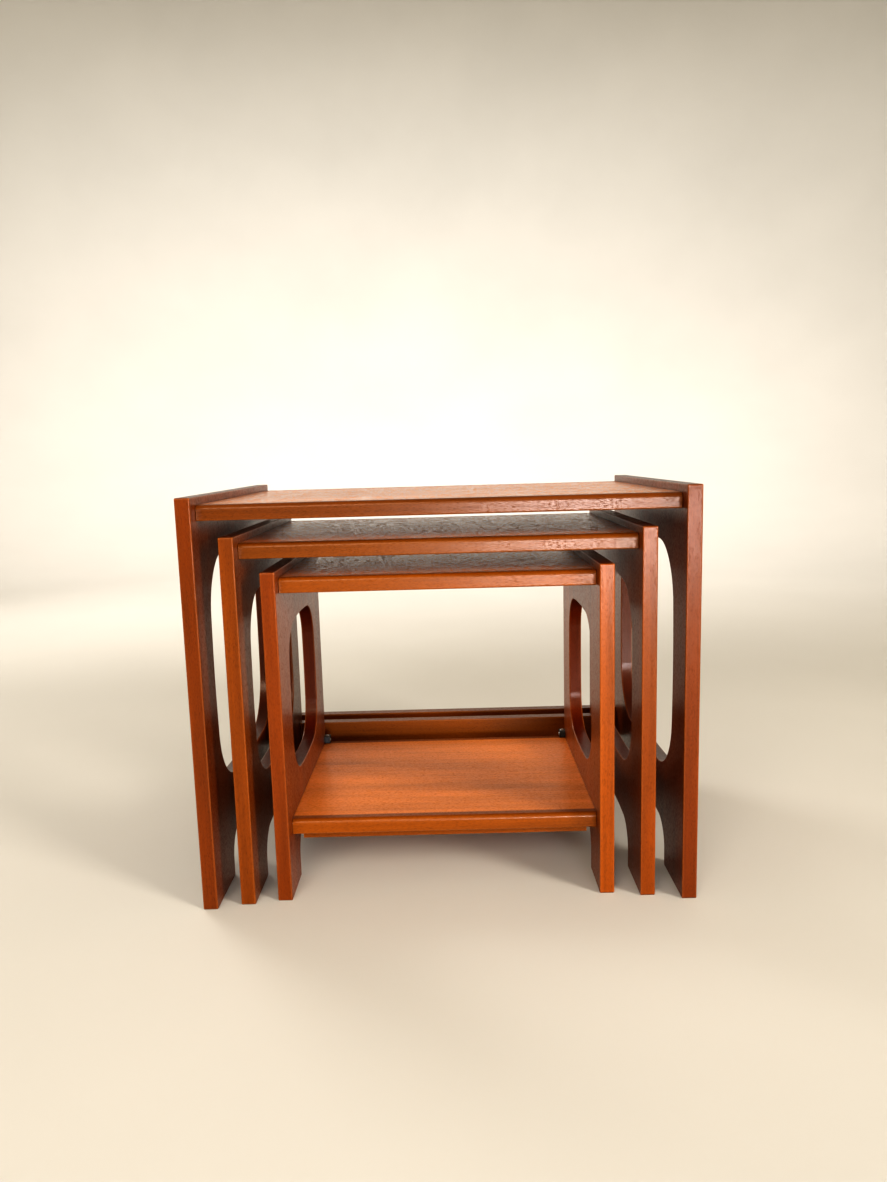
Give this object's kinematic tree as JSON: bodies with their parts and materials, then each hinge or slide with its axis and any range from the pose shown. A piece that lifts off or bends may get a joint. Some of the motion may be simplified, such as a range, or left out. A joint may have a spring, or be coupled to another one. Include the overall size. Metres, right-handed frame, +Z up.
{
  "type": "nesting tables",
  "caption": "Wooden side tables that slide one inside another, with windowed end panels, arched feet, low rear rails and a shelf under the smallest.",
  "frame": {"origin": "on the floor, under the middle of the largest table, with the tables nested", "axes": "+Z up, +X to the right of someone facing the front, front at -Y; the smaller tables draw out along -Y"},
  "size_m": [0.54, 0.4, 0.45],
  "materials": {
    "solid_teak": "satin lacquer over solid teak",
    "teak_veneer": "satin lacquer over sliced teak veneer",
    "board_core": "raw particle board",
    "beech_dowel": "raw turned beech",
    "black_plastic": "matt moulded nylon",
    "steel_screw": "zinc plated"
  },
  "bodies": {
    "large_table": {"large_left_end_panel": "solid_teak", "large_rail_dowels": "beech_dowel", "large_rear_rail": "solid_teak", "large_right_end_panel": "solid_teak", "large_top_backing_veneer": "teak_veneer", "large_top_core": "board_core", "large_top_dowels": "beech_dowel", "large_top_face_veneer": "teak_veneer", "large_top_front_lipping": "solid_teak", "large_top_rear_lipping": "solid_teak"},
    "medium_table": {"medium_left_end_panel": "solid_teak", "medium_rail_dowels": "beech_dowel", "medium_rear_rail": "solid_teak", "medium_right_end_panel": "solid_teak", "medium_top_backing_veneer": "teak_veneer", "medium_top_core": "board_core", "medium_top_dowels": "beech_dowel", "medium_top_face_veneer": "teak_veneer", "medium_top_front_lipping": "solid_teak", "medium_top_rear_lipping": "solid_teak"},
    "small_table": {"small_left_end_panel": "solid_teak", "small_right_end_panel": "solid_teak", "small_shelf_backing_veneer": "teak_veneer", "small_shelf_batten": "solid_teak", "small_shelf_block_screws": "steel_screw", "small_shelf_core": "board_core", "small_shelf_dowels": "beech_dowel", "small_shelf_face_veneer": "teak_veneer", "small_shelf_front_lipping": "solid_teak", "small_shelf_left_corner_block": "black_plastic", "small_shelf_rear_lipping": "solid_teak", "small_shelf_right_corner_block": "black_plastic", "small_top_backing_veneer": "teak_veneer", "small_top_core": "board_core", "small_top_dowels": "beech_dowel", "small_top_face_veneer": "teak_veneer", "small_top_front_lipping": "solid_teak", "small_top_rear_lipping": "solid_teak"}
  },
  "joints": [
    {"name": "medium_table_slide", "type": "slide", "parent": "large_table", "child": "medium_table", "axis": [0, -1, 0], "range_m": [0, 0.4]},
    {"name": "small_table_slide", "type": "slide", "parent": "medium_table", "child": "small_table", "axis": [0, -1, 0], "range_m": [0, 0.35]}
  ]
}
